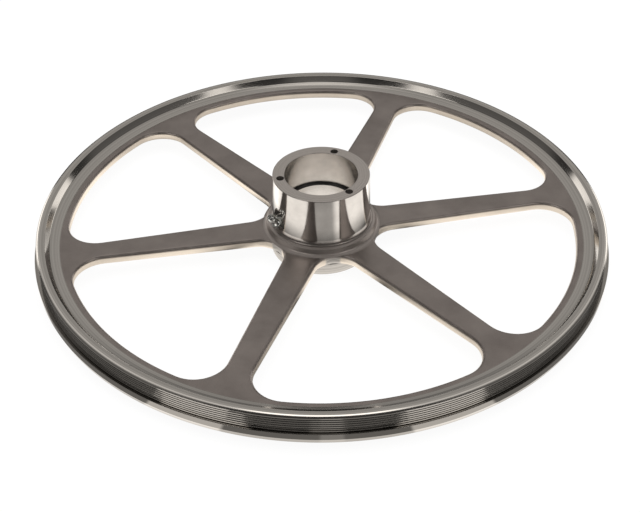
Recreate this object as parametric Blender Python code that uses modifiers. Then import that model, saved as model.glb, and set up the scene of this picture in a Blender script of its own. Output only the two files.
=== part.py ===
"""Six-spoke flanged wheel with a grooved tread, a greased bearing hub and its grease nipple.

The wheel axis is Z, and Z = 0 is the hub's lower face. Lengths are in metres.
"""
import math

import bmesh
import bpy
from mathutils import Matrix, Vector

MM = 0.001
FIT_GAP = 0.3 * MM            # play kept between touching pieces
CUT_PAST = 2.0 * MM           # how far a cutter runs past a face
MERGE_DISTANCE = 0.01 * MM

# Rim
TREAD_R = 203.2 * MM          # a 16 inch tread
FLANGE_R = TREAD_R + 2.3 * MM
CROWN_R = TREAD_R - 2.2 * MM
RIM_BOTTOM_Z = 6.8 * MM
RIM_BOTTOM_R = 196.0 * MM     # inner edge of the rim's lower face
RIM_STEP_R = 192.5 * MM
RIM_STEP_Z = 9.2 * MM
WEB_UNDER_R = 190.0 * MM      # where the web's lower face ends
FLANGE_LOWER_R = FLANGE_R - 1.4 * MM
FLANGE_EDGE_Z = 10.7 * MM
FLANGE_TOP_Z = 15.0 * MM
TREAD_TOP_Z = 26.2 * MM
CROWN_Z = 27.1 * MM
LIP_EDGE_R = 197.1 * MM       # the lip rises from the web to its edge in three slopes
LIP_EDGE_Z = 26.6 * MM
LIP_MIDDLE_R = 194.3 * MM
LIP_MIDDLE_Z = 22.3 * MM
LIP_FOOT_R = 190.5 * MM
LIP_FOOT_Z = 21.0 * MM
WEB_TOP_R = 187.5 * MM        # where the web's upper face ends
GROOVE_COUNT = 6
GROOVE_PITCH = 1.77 * MM
GROOVE_DEPTH = 0.9 * MM
GROOVE_HALF = 0.66 * MM
FIRST_GROOVE_Z = 15.9 * MM

# Web and spokes
WEB_TOP_Z = 20.0 * MM
WEB_BOTTOM_Z = 12.8 * MM
SPOKE_COUNT = 6
SPOKE_PHASE = math.radians(11.05)
SPOKE_HALF_INNER = 12.0 * MM
SPOKE_HALF_OUTER = 8.8 * MM
SPOKE_INNER_R = 51.4 * MM     # where the inner half width is measured
SPOKE_OUTER_R = 174.7 * MM
WINDOW_OUTER_R = 182.5 * MM
WINDOW_OUTER_CORNER = 21.5 * MM
WINDOW_INNER_ROUND = 16.8 * MM

# Boss of the wheel and the sleeve pressed into it
BOSS_R = 38.6 * MM
BOSS_TOP_Z = 24.6 * MM
BOSS_FOOT_R = 40.2 * MM       # a small fillet runs from here to the web
BOSS_FOOT_Z = 21.2 * MM
BOSS_FILLET_R = 43.0 * MM
BOSS_UNDER_R = 41.0 * MM      # the lower fillet, from the web down to the boss
BOSS_UNDER_MIDDLE_R = 37.2 * MM
BOSS_UNDER_MIDDLE_Z = 11.0 * MM
BOSS_UNDER_FOOT_Z = 9.0 * MM
BOSS_LOWER_R = 36.2 * MM
COUNTERBORE_R = 37.3 * MM
COUNTERBORE_Z = 20.0 * MM
BOSS_BORE_R = 31.0 * MM
SLEEVE_TOP_Z = 62.6 * MM
SLEEVE_TOP_R = 34.4 * MM
SLEEVE_FOOT_R = 35.1 * MM
SLEEVE_FLARE_Z = 31.0 * MM
SLEEVE_JOINT_Z = 25.9 * MM
SLEEVE_CHAMFER = 0.6 * MM
SEAT_R = 26.0 * MM            # a 52 mm bearing
SEAT_CHAMFER = 0.4 * MM
CAVITY_R = 24.6 * MM
LOWER_SEAT_DEPTH = 15.0 * MM
STOP_TOP_Z = 36.9 * MM
STOP_THICKNESS = 1.2 * MM
STOP_OUTER_R = 26.7 * MM
STOP_INNER_R = 24.0 * MM
STOP_GAP_ANGLE = math.radians(16)
CAP_SCREW_COUNT = 3
CAP_SCREW_OFFSET = math.radians(60)
CAP_SCREW_PITCH_R = 29.3 * MM
CAP_SCREW_R = 2.45 * MM
CAP_SCREW_DEPTH = 12.0 * MM

# Grease nipple, measured along its own axis from the middle of its hexagon
NIPPLE_AZIMUTH = math.radians(208.8)
NIPPLE_TILT = math.radians(50)
NIPPLE_R = 35.2 * MM
NIPPLE_Z = 32.2 * MM
POCKET_R = 7.9 * MM
POCKET_REACH = 30.0 * MM      # how far the spot facer sweeps out of the metal
PASSAGE_R = 1.25 * MM
PASSAGE_DEPTH = 18.0 * MM
PASSAGE_LENGTH = 14.0 * MM
HEX_HALF = 1.5 * MM
HEX_CORNER_R = 4.6 * MM
HEX_CORE_R = 2.0 * MM
SHANK_R = 2.7 * MM
SHANK_LENGTH = 4.5 * MM
NECK_R = 2.2 * MM
NECK_TOP_Z = 5.4 * MM
NECK_FOOT_Z = 2.3 * MM
COLLAR_R = 3.4 * MM           # the round face above and below the hexagon
HEAD_R = 3.25 * MM
HEAD_Z = 7.6 * MM
HEAD_EDGE_R = 3.0 * MM
HEAD_TOP_Z = 8.8 * MM
HEAD_UNDER_Z = 6.6 * MM
TIP_Z = 10.0 * MM
TIP_R = 1.9 * MM
SEAT_TOP_Z = TIP_Z - 0.8 * MM
SEAT_FOOT_Z = TIP_Z - 1.6 * MM
BALL_R = 1.2 * MM
CHAMBER_R = BALL_R + FIT_GAP
SEAT_HOLE_R = 0.85 * MM
CHAMBER_FLOOR_Z = 1.8 * MM
GREASE_HOLE_R = 0.8 * MM
SPRING_WIRE_R = 0.18 * MM
SPRING_R = 0.95 * MM
SPRING_TURNS = 5
SPRING_TOP_DROP = 0.66 * MM    # from the ball's centre down to the coil that holds it

# Facets round a full turn
WHEEL_STEPS = 96
SLEEVE_STEPS = 64
SMALL_STEPS = 24
HOLE_STEPS = 16
CORNER_STEPS = 6              # along one rounded corner of a window
RIM_SIDE_STEPS = 10
INNER_END_STEPS = 8
POCKET_STEPS = 40
SPRING_STEPS = 12
BALL_STEPS = 16
BALL_RINGS = 10

STEEL_CAST = (0.30, 0.28, 0.27)
STEEL_BRIGHT = (0.62, 0.60, 0.57)
STEEL_BLACK = (0.02, 0.02, 0.02)
ZINC = (0.70, 0.72, 0.72)


def clear_scene():
    for item in list(bpy.data.objects):
        bpy.data.objects.remove(item, do_unlink=True)


def new_collection(name):
    group = bpy.data.collections.new(name)
    bpy.context.scene.collection.children.link(group)
    return group


def metal(name, colour, roughness):
    material = bpy.data.materials.new(name)
    material.use_nodes = True
    shader = material.node_tree.nodes["Principled BSDF"]
    shader.inputs["Base Color"].default_value = (*colour, 1)
    shader.inputs["Metallic"].default_value = 1
    shader.inputs["Roughness"].default_value = roughness
    return material


def add_object(name, mesh, group, material=None):
    item = bpy.data.objects.new(name, mesh)
    group.objects.link(item)
    if material:
        mesh.materials.append(material)
    return item


def turned(name, profile, steps, group, material=None):
    """A closed profile in the XZ plane, running down its outer side, swept round Z."""
    mesh = bpy.data.meshes.new(name)
    points = [(r, 0, z) for r, z in profile]
    edges = [(i, (i + 1) % len(points)) for i in range(len(points))]
    mesh.from_pydata(points, edges, [])
    item = add_object(name, mesh, group, material)
    screw = item.modifiers.new("Turn", "SCREW")
    screw.axis = "Z"
    screw.steps = steps
    screw.render_steps = steps
    screw.use_merge_vertices = True
    screw.merge_threshold = MERGE_DISTANCE
    return item


def arc_points(centre, radius, start, end, count):
    angles = [start + (end - start) * i / count for i in range(count + 1)]
    return [(centre[0] + radius * math.cos(a), centre[1] + radius * math.sin(a)) for a in angles]


def hide_cutter(item):
    item.display_type = "WIRE"
    item.hide_render = True
    item.hide_viewport = False


def cut(target, cutter):
    hide_cutter(cutter)
    boolean = target.modifiers.new("Cut " + cutter.name, "BOOLEAN")
    boolean.operation = "DIFFERENCE"
    boolean.solver = "EXACT"
    boolean.object = cutter


def cylinder_cutter(name, radius, depth, matrix, steps, group):
    """A cylinder along the matrix's Z axis, from 0 up to depth."""
    mesh = bpy.data.meshes.new(name)
    shape = bmesh.new()
    place = matrix @ Matrix.Translation((0, 0, depth / 2))
    bmesh.ops.create_cone(shape, cap_ends=True, segments=steps, radius1=radius, radius2=radius,
                          depth=depth, matrix=place)
    shape.to_mesh(mesh)
    shape.free()
    return add_object(name, mesh, group)


def groove_profile():
    """The tread from its top edge down to the flange, with its V grooves."""
    points = [(TREAD_R, TREAD_TOP_Z)]
    for i in reversed(range(GROOVE_COUNT)):
        z = FIRST_GROOVE_Z + i * GROOVE_PITCH
        points.append((TREAD_R, z + GROOVE_HALF))
        points.append((TREAD_R - GROOVE_DEPTH, z))
        points.append((TREAD_R, z - GROOVE_HALF))
    points.append((TREAD_R, FLANGE_TOP_Z))
    return points


def wheel_profile():
    outer = [(CROWN_R, CROWN_Z)] + groove_profile()
    outer += [(FLANGE_R, FLANGE_TOP_Z), (FLANGE_R, FLANGE_EDGE_Z), (FLANGE_LOWER_R, RIM_BOTTOM_Z)]
    under = [(RIM_BOTTOM_R, RIM_BOTTOM_Z), (RIM_STEP_R, RIM_STEP_Z), (WEB_UNDER_R, WEB_BOTTOM_Z)]
    under += [(BOSS_UNDER_R, WEB_BOTTOM_Z), (BOSS_UNDER_MIDDLE_R, BOSS_UNDER_MIDDLE_Z)]
    under += [(BOSS_LOWER_R, BOSS_UNDER_FOOT_Z), (BOSS_LOWER_R, FIT_GAP), (BOSS_BORE_R, FIT_GAP)]
    inner = [(BOSS_BORE_R, COUNTERBORE_Z), (COUNTERBORE_R, COUNTERBORE_Z)]
    inner += [(COUNTERBORE_R, SLEEVE_JOINT_Z - FIT_GAP), (BOSS_R, BOSS_TOP_Z)]
    top = [(BOSS_FOOT_R, BOSS_FOOT_Z), (BOSS_FILLET_R, WEB_TOP_Z), (WEB_TOP_R, WEB_TOP_Z)]
    top += [(LIP_FOOT_R, LIP_FOOT_Z), (LIP_MIDDLE_R, LIP_MIDDLE_Z), (LIP_EDGE_R, LIP_EDGE_Z)]
    return outer + under + inner + top


def spoke_edge(azimuth, side):
    """Unit direction of a spoke, and the unit normal and offset of its edge line on one side."""
    along = Vector((math.cos(azimuth), math.sin(azimuth)))
    across = Vector((-along.y, along.x)) * side
    slope = (SPOKE_HALF_OUTER - SPOKE_HALF_INNER) / (SPOKE_OUTER_R - SPOKE_INNER_R)
    half_at_axis = SPOKE_HALF_INNER - slope * SPOKE_INNER_R
    normal = (across - along * slope).normalized()
    return along, normal, half_at_axis / math.hypot(1, slope)


def outer_corner(azimuth, side):
    """Centre of a window's outer corner arc, with its touch angles on the spoke and the rim."""
    along, normal, offset = spoke_edge(azimuth, side)
    height = offset + WINDOW_OUTER_CORNER
    tangent = Vector((normal.y, -normal.x))
    if tangent.dot(along) < 0:
        tangent = -tangent
    reach = math.sqrt((WINDOW_OUTER_R - WINDOW_OUTER_CORNER) ** 2 - height ** 2)
    centre = normal * height + tangent * reach
    return centre, math.atan2(-normal.y, -normal.x), math.atan2(centre.y, centre.x)


def turn_between(start, end):
    return (end - start + math.pi) % (2 * math.pi) - math.pi


def inner_end(azimuth):
    """Centre of a window's round inner end, with its first touch angle and its turn."""
    step = 2 * math.pi / SPOKE_COUNT
    middle = azimuth + step / 2
    normal, offset = spoke_edge(azimuth + step, -1)[1:]
    toward = Vector((math.cos(middle), math.sin(middle)))
    centre = toward * ((offset + WINDOW_INNER_ROUND) / normal.dot(toward))
    start = math.atan2(-normal.y, -normal.x)
    return centre, start, 2 * turn_between(start, middle + math.pi)


def window_outline(azimuth):
    """A window between the spoke at azimuth and the next one, counter-clockwise."""
    step = 2 * math.pi / SPOKE_COUNT
    first, first_spoke, first_rim = outer_corner(azimuth, 1)
    last, last_spoke, last_rim = outer_corner(azimuth + step, -1)
    arcs = [(first, WINDOW_OUTER_CORNER, first_spoke, turn_between(first_spoke, first_rim), CORNER_STEPS)]
    arcs += [((0, 0), WINDOW_OUTER_R, first_rim, turn_between(first_rim, last_rim), RIM_SIDE_STEPS)]
    arcs += [(last, WINDOW_OUTER_CORNER, last_rim, turn_between(last_rim, last_spoke), CORNER_STEPS)]
    centre, start, turn = inner_end(azimuth)
    arcs += [(centre, WINDOW_INNER_ROUND, start, turn, INNER_END_STEPS)]
    points = []
    for middle, radius, begin, sweep, count in arcs:
        points += [p for p in arc_points(middle, radius, begin, begin + sweep, count) if far_from(p, points)]
    return points


def far_from(point, points):
    return not points or math.dist(point, points[-1]) > MERGE_DISTANCE / 10


def window_cutter(index, group):
    azimuth = SPOKE_PHASE + index * 2 * math.pi / SPOKE_COUNT
    mesh = bpy.data.meshes.new("window_cutter_%d" % (index + 1))
    shape = bmesh.new()
    corners = [shape.verts.new((x, y, WEB_BOTTOM_Z - CUT_PAST)) for x, y in window_outline(azimuth)]
    face = shape.faces.new(corners)
    pushed = bmesh.ops.extrude_face_region(shape, geom=[face])["geom"]
    lifted = [v for v in pushed if isinstance(v, bmesh.types.BMVert)]
    bmesh.ops.translate(shape, verts=lifted, vec=(0, 0, WEB_TOP_Z - WEB_BOTTOM_Z + 2 * CUT_PAST))
    bmesh.ops.recalc_face_normals(shape, faces=shape.faces)
    shape.to_mesh(mesh)
    shape.free()
    return add_object(mesh.name, mesh, group)


def sleeve_profile():
    flare_r = COUNTERBORE_R - FIT_GAP
    drop = SLEEVE_FLARE_Z - SLEEVE_JOINT_Z
    out = flare_r - SLEEVE_FOOT_R
    points = [(SEAT_R + SEAT_CHAMFER, SLEEVE_TOP_Z), (SLEEVE_TOP_R - SLEEVE_CHAMFER, SLEEVE_TOP_Z)]
    points += [(SLEEVE_TOP_R, SLEEVE_TOP_Z - SLEEVE_CHAMFER), (SLEEVE_FOOT_R, SLEEVE_FLARE_Z)]
    for i in range(1, 4):
        turn = math.radians(30 * i)
        points.append((SLEEVE_FOOT_R + out * (1 - math.cos(turn)), SLEEVE_FLARE_Z - drop * math.sin(turn)))
    points += [(flare_r, COUNTERBORE_Z + FIT_GAP), (BOSS_BORE_R - FIT_GAP, COUNTERBORE_Z + FIT_GAP)]
    points += [(BOSS_BORE_R - FIT_GAP, 0), (SEAT_R + SEAT_CHAMFER, 0), (SEAT_R, SEAT_CHAMFER)]
    points += [(SEAT_R, LOWER_SEAT_DEPTH), (CAVITY_R, LOWER_SEAT_DEPTH)]
    groove_r = STOP_OUTER_R + FIT_GAP
    groove_low = STOP_TOP_Z - STOP_THICKNESS - FIT_GAP
    groove_high = STOP_TOP_Z + FIT_GAP
    points += [(CAVITY_R, groove_low), (groove_r, groove_low), (groove_r, groove_high)]
    points += [(SEAT_R, groove_high), (SEAT_R, SLEEVE_TOP_Z - SEAT_CHAMFER)]
    return points


def nipple_frame():
    """The nipple's axes, with Z pointing out of its tip and the origin in its hexagon."""
    radial = Vector((math.cos(NIPPLE_AZIMUTH), math.sin(NIPPLE_AZIMUTH), 0))
    axis = radial * math.cos(NIPPLE_TILT) + Vector((0, 0, math.sin(NIPPLE_TILT)))
    side = Vector((0, 0, 1)).cross(radial)
    up = axis.cross(side)
    turn = Matrix((side, up, axis)).transposed().to_4x4()
    return Matrix.Translation(radial * NIPPLE_R + Vector((0, 0, NIPPLE_Z))) @ turn


def nipple_profile():
    """Head, neck and shank, with the ball's chamber and the grease hole down the middle."""
    low = -HEX_HALF - SHANK_LENGTH
    outer = [(TIP_R, TIP_Z), (HEAD_EDGE_R, HEAD_TOP_Z), (HEAD_R, HEAD_Z), (HEAD_EDGE_R, HEAD_UNDER_Z)]
    outer += [(NECK_R, NECK_TOP_Z), (NECK_R, NECK_FOOT_Z), (COLLAR_R, HEX_HALF)]
    outer += [(COLLAR_R, -HEX_HALF), (SHANK_R, -HEX_HALF), (SHANK_R, low)]
    inner = [(GREASE_HOLE_R, low), (GREASE_HOLE_R, CHAMBER_FLOOR_Z), (CHAMBER_R, CHAMBER_FLOOR_Z)]
    inner += [(CHAMBER_R, SEAT_FOOT_Z), (SEAT_HOLE_R, SEAT_TOP_Z), (SEAT_HOLE_R, TIP_Z)]
    return outer + inner


def hexagon(group):
    """The spanner hexagon, with a hole through it that the turned body fills."""
    mesh = bpy.data.meshes.new("nipple_hexagon")
    shape = bmesh.new()
    bmesh.ops.create_cone(shape, cap_ends=True, segments=6, radius1=HEX_CORNER_R, radius2=HEX_CORNER_R,
                          depth=2 * HEX_HALF)
    shape.to_mesh(mesh)
    shape.free()
    item = add_object("nipple_hexagon", mesh, group)
    below = Matrix.Translation((0, 0, -2 * HEX_HALF))
    core = cylinder_cutter("hexagon_core", HEX_CORE_R, 4 * HEX_HALF, below, SMALL_STEPS, group)
    cut(item, core)
    hide_cutter(item)
    return item


def join_with(target, other):
    union = target.modifiers.new("Join " + other.name, "BOOLEAN")
    union.operation = "UNION"
    union.solver = "EXACT"
    union.object = other


def build_wheel(group, cutters):
    wheel = turned("spoked_wheel", wheel_profile(), WHEEL_STEPS, group, metal("cast_steel", STEEL_CAST, 0.45))
    for index in range(SPOKE_COUNT):
        cut(wheel, window_cutter(index, cutters))
    return wheel


def build_sleeve(group, cutters):
    steel = metal("bright_steel", STEEL_BRIGHT, 0.15)
    sleeve = turned("hub_sleeve", sleeve_profile(), SLEEVE_STEPS, group, steel)
    for index in range(CAP_SCREW_COUNT):
        azimuth = SPOKE_PHASE + CAP_SCREW_OFFSET + index * 2 * math.pi / CAP_SCREW_COUNT
        toward = Vector((math.cos(azimuth), math.sin(azimuth), 0)) * CAP_SCREW_PITCH_R
        place = Matrix.Translation(toward + Vector((0, 0, SLEEVE_TOP_Z - CAP_SCREW_DEPTH)))
        name = "cap_screw_cutter_%d" % (index + 1)
        cut(sleeve, cylinder_cutter(name, CAP_SCREW_R, 2 * CAP_SCREW_DEPTH, place, HOLE_STEPS, cutters))
    return sleeve


def cut_nipple_seat(wheel, sleeve, cutters):
    """The spot-faced pocket, the threaded hole and the grease passage into the cavity."""
    frame = nipple_frame()
    floor = Matrix.Translation((0, 0, -HEX_HALF - FIT_GAP))
    pocket = cylinder_cutter("pocket_cutter", POCKET_R, POCKET_REACH, frame @ floor, POCKET_STEPS, cutters)
    cut(sleeve, pocket)
    cut(wheel, pocket)
    depth = SHANK_LENGTH + FIT_GAP
    shank = frame @ Matrix.Translation((0, 0, -HEX_HALF - depth))
    hole_r = SHANK_R + FIT_GAP
    cut(sleeve, cylinder_cutter("nipple_hole_cutter", hole_r, depth + CUT_PAST, shank, SMALL_STEPS, cutters))
    passage = frame @ Matrix.Translation((0, 0, -PASSAGE_DEPTH))
    cut(sleeve, cylinder_cutter("passage_cutter", PASSAGE_R, PASSAGE_LENGTH, passage, HOLE_STEPS, cutters))


def build_stop_ring(group, cutters):
    low = STOP_TOP_Z - STOP_THICKNESS
    profile = [(STOP_OUTER_R, STOP_TOP_Z), (STOP_OUTER_R, low)]
    profile += [(STOP_INNER_R, low), (STOP_INNER_R, STOP_TOP_Z)]
    ring = turned("bearing_stop_ring", profile, SLEEVE_STEPS, group, metal("black_steel", STEEL_BLACK, 0.4))
    mesh = bpy.data.meshes.new("ring_gap_cutter")
    shape = bmesh.new()
    width = 2 * STOP_INNER_R * math.tan(STOP_GAP_ANGLE / 2)
    reach = STOP_OUTER_R - STOP_INNER_R + 2 * CUT_PAST
    place = Matrix.Translation((0, -(STOP_INNER_R + STOP_OUTER_R) / 2, low + STOP_THICKNESS / 2))
    size = Matrix.Diagonal((width, reach, STOP_THICKNESS + 2 * CUT_PAST, 1))
    bmesh.ops.create_cube(shape, size=1, matrix=place @ size)
    shape.to_mesh(mesh)
    shape.free()
    cut(ring, add_object("ring_gap_cutter", mesh, cutters))
    return ring


def build_nipple(group, cutters):
    body = turned("nipple_body", nipple_profile(), SMALL_STEPS, group, metal("zinc_plate", ZINC, 0.2))
    hexa = hexagon(cutters)
    join_with(body, hexa)
    frame = nipple_frame()
    body.matrix_world = frame
    hexa.matrix_world = frame
    bpy.data.objects["hexagon_core"].matrix_world = frame
    return body


def build_ball(group):
    mesh = bpy.data.meshes.new("nipple_ball")
    shape = bmesh.new()
    bmesh.ops.create_uvsphere(shape, u_segments=BALL_STEPS, v_segments=BALL_RINGS, radius=BALL_R)
    shape.to_mesh(mesh)
    shape.free()
    ball = add_object("nipple_ball", mesh, group, metal("ball_steel", STEEL_BRIGHT, 0.1))
    ball.matrix_world = nipple_frame() @ Matrix.Translation((0, 0, ball_rest_z()))
    return ball


def ball_rest_z():
    """The ball's centre when it stands just clear of the seat cone."""
    slope = math.atan2(CHAMBER_R - SEAT_HOLE_R, SEAT_TOP_Z - SEAT_FOOT_Z)
    return SEAT_TOP_Z + SEAT_HOLE_R / math.tan(slope) - (BALL_R + FIT_GAP) / math.sin(slope)


def spring_path():
    low = CHAMBER_FLOOR_Z + SPRING_WIRE_R + FIT_GAP
    high = ball_rest_z() - SPRING_TOP_DROP - SPRING_WIRE_R - FIT_GAP
    count = SPRING_TURNS * SPRING_STEPS
    points = []
    for i in range(count + 1):
        turn = 2 * math.pi * i / SPRING_STEPS
        points.append((SPRING_R * math.cos(turn), SPRING_R * math.sin(turn), low + (high - low) * i / count))
    return points


def build_spring(group):
    curve = bpy.data.curves.new("nipple_spring", "CURVE")
    curve.dimensions = "3D"
    spline = curve.splines.new("POLY")
    path = spring_path()
    spline.points.add(len(path) - 1)
    for point, place in zip(spline.points, path):
        point.co = (*place, 1)
    curve.bevel_depth = SPRING_WIRE_R
    curve.bevel_resolution = 1
    curve.use_fill_caps = True
    spring = bpy.data.objects.new("nipple_spring", curve)
    group.objects.link(spring)
    curve.materials.append(metal("spring_steel", STEEL_BRIGHT, 0.3))
    spring.matrix_world = nipple_frame()
    return spring


def smooth_round_pieces(group):
    for item in group.objects:
        if item.type == "MESH":
            item.data.shade_smooth()


def main():
    clear_scene()
    group = new_collection("spoked_band_wheel")
    cutters = new_collection("cutters")
    wheel = build_wheel(group, cutters)
    sleeve = build_sleeve(group, cutters)
    cut_nipple_seat(wheel, sleeve, cutters)
    build_stop_ring(group, cutters)
    build_nipple(group, cutters)
    build_ball(group)
    build_spring(group)
    smooth_round_pieces(group)


main()
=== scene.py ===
# Flanged six-spoke wheel with a grooved tread, a polished hub and a grease nipple.
import math

import bmesh
import bpy
from mathutils import Matrix, Vector


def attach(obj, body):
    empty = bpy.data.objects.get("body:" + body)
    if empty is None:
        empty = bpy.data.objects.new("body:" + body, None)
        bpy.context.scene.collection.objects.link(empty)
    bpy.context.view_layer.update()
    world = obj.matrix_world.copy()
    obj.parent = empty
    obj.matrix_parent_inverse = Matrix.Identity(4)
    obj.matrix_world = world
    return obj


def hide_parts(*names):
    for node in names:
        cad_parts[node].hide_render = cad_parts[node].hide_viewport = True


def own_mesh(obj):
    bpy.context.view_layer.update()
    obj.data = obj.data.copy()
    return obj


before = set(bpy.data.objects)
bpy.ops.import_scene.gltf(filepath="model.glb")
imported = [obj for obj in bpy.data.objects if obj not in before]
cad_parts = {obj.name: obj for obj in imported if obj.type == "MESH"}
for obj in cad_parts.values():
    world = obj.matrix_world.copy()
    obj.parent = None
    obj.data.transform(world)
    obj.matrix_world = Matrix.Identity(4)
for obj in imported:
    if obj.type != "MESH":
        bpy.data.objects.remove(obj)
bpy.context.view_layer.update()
mm = 0.001


camera = {"distance": 907.8 * mm, "elevation": 37.36, "aimHeight": 10.3 * mm, "lens": 69.98,
          "tiltDown": 1.078, "turnLeft": 0.098, "roll": -0.428}

studio = {"floorSize": 6.0, "floorGrey": 0.09, "floorGlow": 0.93, "roomDark": (0.05, 0.048, 0.046),
          # azimuth and elevation point from the wheel to each panel, spread is its half angle
          "panels": [{"azimuth": 90, "elevation": 50, "spread": 24, "edge": 26, "strength": 0.44},
                     {"azimuth": 220, "elevation": 45, "spread": 13, "edge": 1.5, "strength": 1.75},
                     {"azimuth": 320, "elevation": 45, "spread": 13, "edge": 1.5, "strength": 1.75},
                     {"azimuth": 272, "elevation": 47, "spread": 4, "edge": 2, "strength": 0.5},
                     {"azimuth": 46, "elevation": 9, "spread": 11, "edge": 4, "strength": 1.5},
                     {"azimuth": 134, "elevation": 9, "spread": 11, "edge": 4, "strength": 1.5},
                     {"azimuth": 90, "elevation": 78, "spread": 7, "edge": 5, "strength": 0.9},
                     {"azimuth": 270, "elevation": 48, "spread": 14, "edge": 5, "strength": 0.12},
                     {"azimuth": 0, "elevation": 38, "spread": 25, "edge": 10, "strength": 0.1},
                     {"azimuth": 180, "elevation": 38, "spread": 25, "edge": 10, "strength": 0.1}],
          "panelColour": (1.0, 0.96, 0.91),
          "backdrop": (0.93, 0.93, 0.93),
          "overhead": {"height": 1.6, "size": 2.2, "watts": 30}}

# A card under the wheel that only shows in the polished metal. Each patch is a sector of a ring:
# half is its half angle in degrees, inner and outer are its radii in millimetres.
# It brightens over rise before inner, and dims over fade past outer.
card = {"radius": 1.5, "height": -1 * mm,
        "patches": [{"strength": 1.3, "inner": 0, "outer": 22, "fade": 6},
                    {"strength": 0.45, "inner": 94, "rise": 28, "outer": 120, "fade": 70},
                    {"strength": 1.3, "azimuth": 270, "half": 75, "soft": 20,
                     "inner": 32, "outer": 56, "fade": 12},
                    {"strength": 0.75, "azimuth": 195, "half": 42, "soft": 14,
                     "inner": 94, "rise": 28, "outer": 190, "fade": 10},
                    {"strength": 0.75, "azimuth": 345, "half": 42, "soft": 14,
                     "inner": 94, "rise": 28, "outer": 190, "fade": 10},
                    {"strength": 0.6, "azimuth": 90, "half": 70, "soft": 20,
                     "inner": 94, "rise": 28, "outer": 190, "fade": 10},
                    {"strength": 0.8, "azimuth": 243.5, "half": 7.3,
                     "inner": 206, "outer": 300, "fade": 60},
                    {"strength": 0.8, "azimuth": 295, "half": 8,
                     "inner": 206, "outer": 300, "fade": 60},
                    {"strength": 0.2, "azimuth": 271.7, "half": 1.7,
                     "inner": 206, "outer": 300, "fade": 60},
                    {"strength": 0.9, "inner": 197, "outer": 208, "fade": 2},
                    {"strength": 0.3, "inner": 206, "outer": 400, "fade": 90}]}


def addCamera(values):
    data = bpy.data.cameras.new("camera")
    data.lens = values["lens"]
    data.sensor_width = 36
    data.clip_start = 0.01
    shot = bpy.data.objects.new("camera", data)
    bpy.context.scene.collection.objects.link(shot)
    lift = math.radians(values["elevation"])
    turn = Matrix.Rotation(math.radians(values["turnLeft"]), 4, "Z")
    tilt = Matrix.Rotation(math.radians(90 - values["elevation"] - values["tiltDown"]), 4, "X")
    roll = Matrix.Rotation(math.radians(values["roll"]), 4, "Z")
    place = Vector((0, -math.cos(lift), math.sin(lift))) * values["distance"]
    place.z += values["aimHeight"]
    shot.matrix_world = Matrix.Translation(place) @ turn @ tilt @ roll
    bpy.context.scene.camera = shot


def direction(azimuth, elevation):
    across = math.cos(math.radians(elevation))
    return Vector((across * math.cos(math.radians(azimuth)), across * math.sin(math.radians(azimuth)),
                   math.sin(math.radians(elevation))))


def addWorld(values):
    world = bpy.data.worlds.new("studio")
    bpy.context.scene.world = world
    world.use_nodes = True
    nodes = world.node_tree.nodes
    links = world.node_tree.links
    nodes.clear()
    coordinates = nodes.new("ShaderNodeTexCoord")
    total = None
    for panel in values["panels"]:
        dot = nodes.new("ShaderNodeVectorMath")
        dot.operation = "DOT_PRODUCT"
        dot.inputs[1].default_value = direction(panel["azimuth"], panel["elevation"])
        links.new(coordinates.outputs["Generated"], dot.inputs[0])
        glow = nodes.new("ShaderNodeMapRange")
        glow.interpolation_type = "SMOOTHSTEP"
        glow.inputs["From Min"].default_value = math.cos(math.radians(panel["spread"] + panel["edge"]))
        glow.inputs["From Max"].default_value = math.cos(math.radians(panel["spread"]))
        glow.inputs["To Max"].default_value = panel["strength"]
        links.new(dot.outputs["Value"], glow.inputs["Value"])
        if total is None:
            total = glow.outputs["Result"]
        else:
            add = nodes.new("ShaderNodeMath")
            links.new(total, add.inputs[0])
            links.new(glow.outputs["Result"], add.inputs[1])
            total = add.outputs["Value"]
    colour = nodes.new("ShaderNodeMix")
    colour.data_type = "RGBA"
    colour.blend_type = "MULTIPLY"
    colour.inputs["Factor"].default_value = 1
    colour.inputs["A"].default_value = (*values["panelColour"], 1)
    links.new(total, colour.inputs["B"])
    room = nodes.new("ShaderNodeMix")
    room.data_type = "RGBA"
    room.blend_type = "ADD"
    room.inputs["Factor"].default_value = 1
    room.inputs["B"].default_value = (*values["roomDark"], 1)
    links.new(colour.outputs["Result"], room.inputs["A"])
    studioLight = nodes.new("ShaderNodeBackground")
    links.new(room.outputs["Result"], studioLight.inputs["Color"])
    backdrop = nodes.new("ShaderNodeBackground")
    backdrop.inputs["Color"].default_value = (*values["backdrop"], 1)
    path = nodes.new("ShaderNodeLightPath")
    mix = nodes.new("ShaderNodeMixShader")
    links.new(path.outputs["Is Camera Ray"], mix.inputs["Fac"])
    links.new(studioLight.outputs["Background"], mix.inputs[1])
    links.new(backdrop.outputs["Background"], mix.inputs[2])
    output = nodes.new("ShaderNodeOutputWorld")
    links.new(mix.outputs["Shader"], output.inputs["Surface"])


def addOverhead(values):
    data = bpy.data.lights.new("overhead", "AREA")
    data.shape = "DISK"
    data.size = values["size"]
    data.energy = values["watts"]
    lamp = bpy.data.objects.new("overhead", data)
    lamp.location = (0, 0, values["height"])
    lamp.visible_glossy = False
    bpy.context.scene.collection.objects.link(lamp)


def addFloor(values):
    paint = bpy.data.materials.new("paleFloor")
    paint.use_nodes = True
    shader = paint.node_tree.nodes["Principled BSDF"]
    grey = values["floorGrey"]
    shader.inputs["Base Color"].default_value = (grey, grey, grey, 1)
    shader.inputs["Roughness"].default_value = 1
    shader.inputs["Specular IOR Level"].default_value = 0
    shader.inputs["Emission Color"].default_value = (1, 1, 1, 1)
    shader.inputs["Emission Strength"].default_value = values["floorGlow"]
    deselectAll()
    bpy.ops.mesh.primitive_circle_add(vertices=96, radius=values["floorSize"], fill_type="NGON")
    floor = bpy.context.object
    floor.name = "floor"
    floor.visible_glossy = False
    floor.data.materials.append(paint)


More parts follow.
